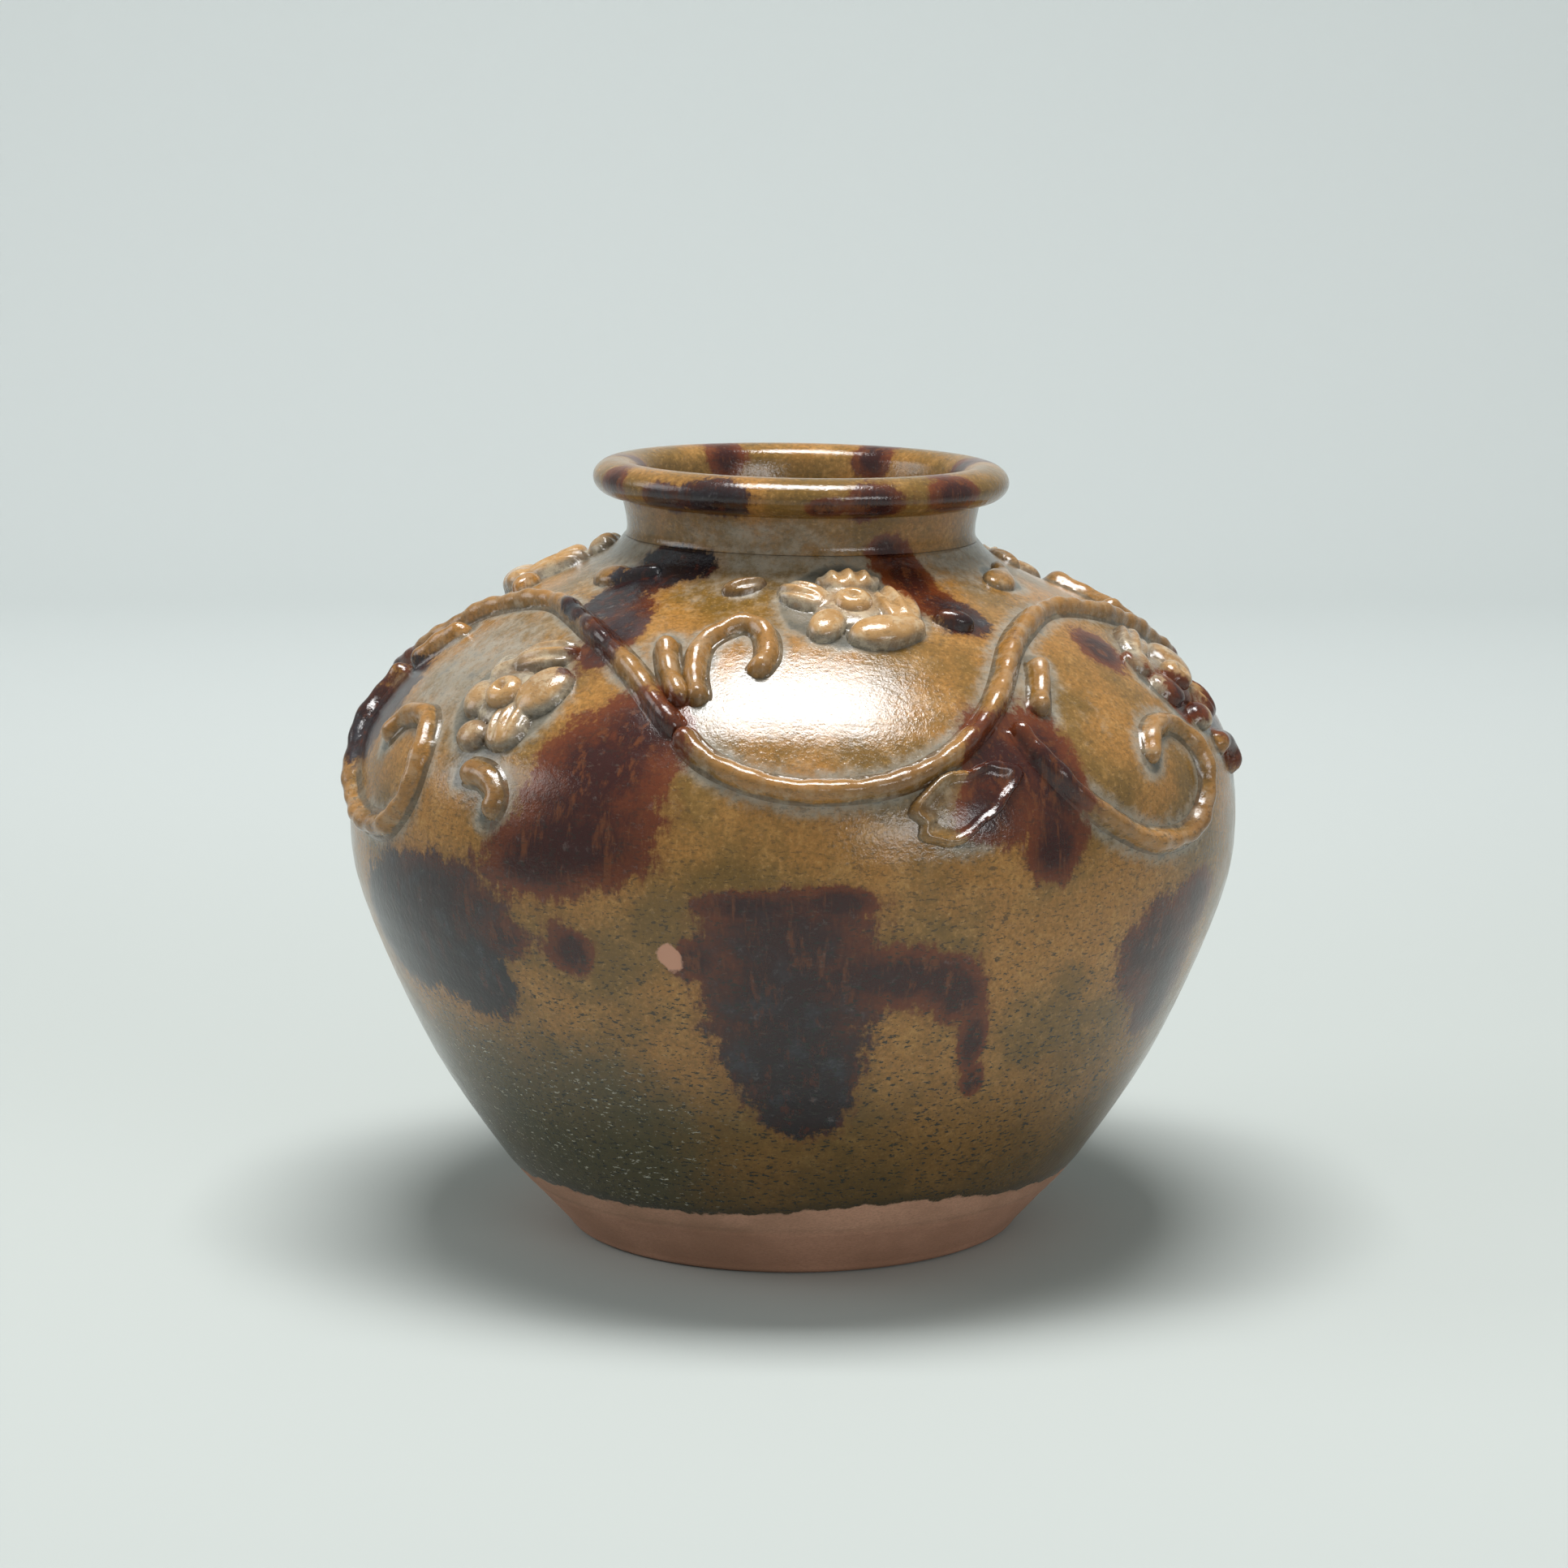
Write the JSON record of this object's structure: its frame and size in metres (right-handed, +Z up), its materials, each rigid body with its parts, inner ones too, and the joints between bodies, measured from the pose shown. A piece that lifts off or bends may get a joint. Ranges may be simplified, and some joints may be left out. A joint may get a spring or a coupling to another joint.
{
  "type": "stoneware jar",
  "caption": "Round-shouldered stoneware storage jar with a short neck, a rolled lip and a raised clay vine scroll with flowers on its shoulder.",
  "frame": {"origin": "middle of the flat base, on the surface the jar stands on", "axes": "+Z up along the jar's turning axis, -Y the front with the upper flower, +X to the right"},
  "size_m": [0.24, 0.2434, 0.2093],
  "materials": {
    "body_glaze": "glossy amber and olive stoneware glaze with brown and blue-black splashes, bare reddish clay at the foot",
    "relief_glaze": "glossy amber glaze, thin on the crests and milky in the hollows"
  },
  "bodies": {
    "root": {"lower_body": "body_glaze", "shoulder": "body_glaze", "neck_and_lip": "body_glaze", "front_main_vine": "relief_glaze", "front_upper_flower": "relief_glaze", "front_upper_flower_bead": "relief_glaze", "front_lower_flower": "relief_glaze", "front_lower_flower_bead": "relief_glaze", "front_hook_branch": "relief_glaze", "front_curl_branch": "relief_glaze", "front_cut_stem": "relief_glaze", "front_seed_pod": "relief_glaze", "front_broad_leaf": "relief_glaze", "front_comma_leaf": "relief_glaze", "front_flame_leaf": "relief_glaze", "front_small_leaf": "relief_glaze", "right_main_vine": "relief_glaze", "right_upper_flower": "relief_glaze", "right_upper_flower_bead": "relief_glaze", "right_lower_flower": "relief_glaze", "right_lower_flower_bead": "relief_glaze", "right_hook_branch": "relief_glaze", "right_curl_branch": "relief_glaze", "right_cut_stem": "relief_glaze", "right_seed_pod": "relief_glaze", "right_broad_leaf": "relief_glaze", "right_comma_leaf": "relief_glaze", "right_flame_leaf": "relief_glaze", "right_small_leaf": "relief_glaze", "left_main_vine": "relief_glaze", "left_upper_flower": "relief_glaze", "left_upper_flower_bead": "relief_glaze", "left_lower_flower": "relief_glaze", "left_lower_flower_bead": "relief_glaze", "left_hook_branch": "relief_glaze", "left_curl_branch": "relief_glaze", "left_cut_stem": "relief_glaze", "left_seed_pod": "relief_glaze", "left_broad_leaf": "relief_glaze", "left_comma_leaf": "relief_glaze", "left_flame_leaf": "relief_glaze", "left_small_leaf": "relief_glaze", "front_free_stem": "relief_glaze", "right_free_stem": "relief_glaze", "left_free_stem": "relief_glaze"}
  },
  "joints": []
}
